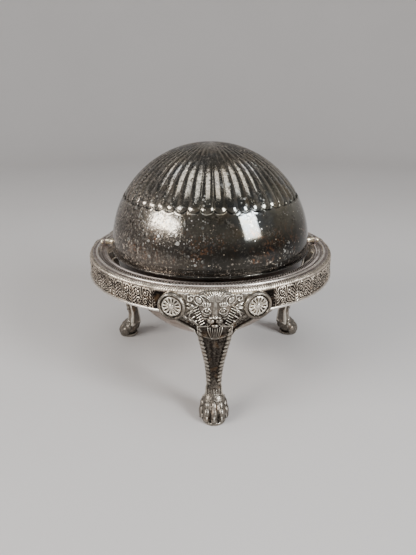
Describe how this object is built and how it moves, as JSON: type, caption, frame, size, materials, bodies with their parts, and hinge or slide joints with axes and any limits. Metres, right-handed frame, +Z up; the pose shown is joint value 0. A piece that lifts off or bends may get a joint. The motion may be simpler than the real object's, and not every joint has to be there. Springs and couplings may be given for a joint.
{
  "type": "sugar bowl",
  "caption": "Silver-plated round bowl in a flanged ring on lion-mask paw legs, under a fluted dome that rolls down round the bowl on side pivots.",
  "frame": {"origin": "on the table, under the middle of the ring", "axes": "+X along the pivot axis to the right, +Y away from the front leg, +Z up"},
  "size_m": [0.1432, 0.1434, 0.1342],
  "materials": {
    "dome_plate": "heavily tarnished silver plate on brass, polished, spotted",
    "ring_plate": "worn and tarnished silver plate on brass, stamped",
    "cast_plate": "cast, silver-plated, dark in the recesses and bright on the high points",
    "bright_plate": "bright worn silver plate",
    "bowl_plate": "lightly tarnished silver plate on brass",
    "pivot_metal": "pale yellowish plated brass, turned"
  },
  "bodies": {
    "stand": {"bowl": "bowl_plate", "bowl_rim_wire": "bowl_plate", "ring_flange": "ring_plate", "ring_band": "ring_plate", "ring_bead_wire": "bright_plate", "ring_edge_wire": "bright_plate", "pivot_screw_right": "pivot_metal", "pivot_screw_left": "pivot_metal", "pivot_spacer_right": "pivot_metal", "pivot_spacer_left": "pivot_metal", "pivot_eye_right": "ring_plate", "pivot_eye_left": "ring_plate", "gap_washers": "pivot_metal", "nut_washers": "pivot_metal", "pivot_nuts": "pivot_metal", "leg_front": "cast_plate", "leg_rear_right": "cast_plate", "leg_rear_left": "cast_plate", "rosette_front_left": "cast_plate", "rosette_front_right": "cast_plate", "rosette_rear_right_left": "cast_plate", "rosette_rear_right_right": "cast_plate", "rosette_rear_left_left": "cast_plate", "rosette_rear_left_right": "cast_plate", "stud_nuts": "pivot_metal"},
    "dome": {"cover": "dome_plate", "cover_rim_wire": "dome_plate", "cover_bush_right": "pivot_metal", "cover_bush_left": "pivot_metal"}
  },
  "joints": [
    {"name": "dome_pivot", "type": "hinge", "parent": "stand", "child": "dome", "pos_m": [0, 0, 0.0776], "axis": [1, 0, 0], "continuous": true}
  ]
}
